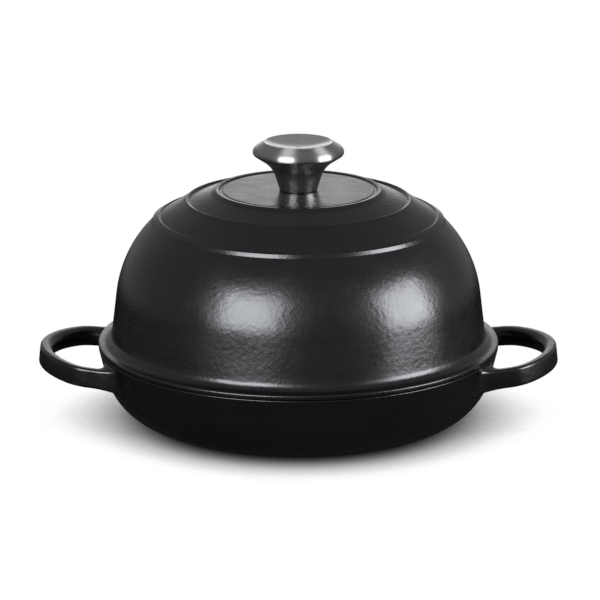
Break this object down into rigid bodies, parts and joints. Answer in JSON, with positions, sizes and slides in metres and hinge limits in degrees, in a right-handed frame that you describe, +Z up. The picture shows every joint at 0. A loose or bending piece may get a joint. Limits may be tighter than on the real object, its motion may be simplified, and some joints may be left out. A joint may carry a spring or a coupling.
{
  "type": "cast iron bread pan",
  "caption": "Round cast iron bread pan: a shallow base with loop handles, a tall ringed dome lid that lifts off, and a flared steel knob screwed on from inside.",
  "frame": {"origin": "centre of the pan's foot, on the surface it stands on", "axes": "+Z up along the round axis, +X towards one handle, -Y towards the front"},
  "size_m": [0.3328, 0.256, 0.1799],
  "materials": {
    "black_enamel": "satin black enamel, slightly pebbled",
    "knob_steel": "satin stainless steel, turned",
    "screw_steel": "bright stainless steel"
  },
  "bodies": {
    "pan": {"base_pan": "black_enamel"},
    "lid": {"dome_lid": "black_enamel", "knob_shell": "knob_steel", "knob_top_disc": "knob_steel", "knob_bush": "screw_steel", "knob_screw": "screw_steel", "flat_washer": "screw_steel", "spring_washer": "screw_steel"}
  },
  "joints": [
    {"name": "lid_lift", "type": "slide", "parent": "pan", "child": "lid", "axis": [0, 0, 1], "range_m": [0, 0.2]}
  ]
}
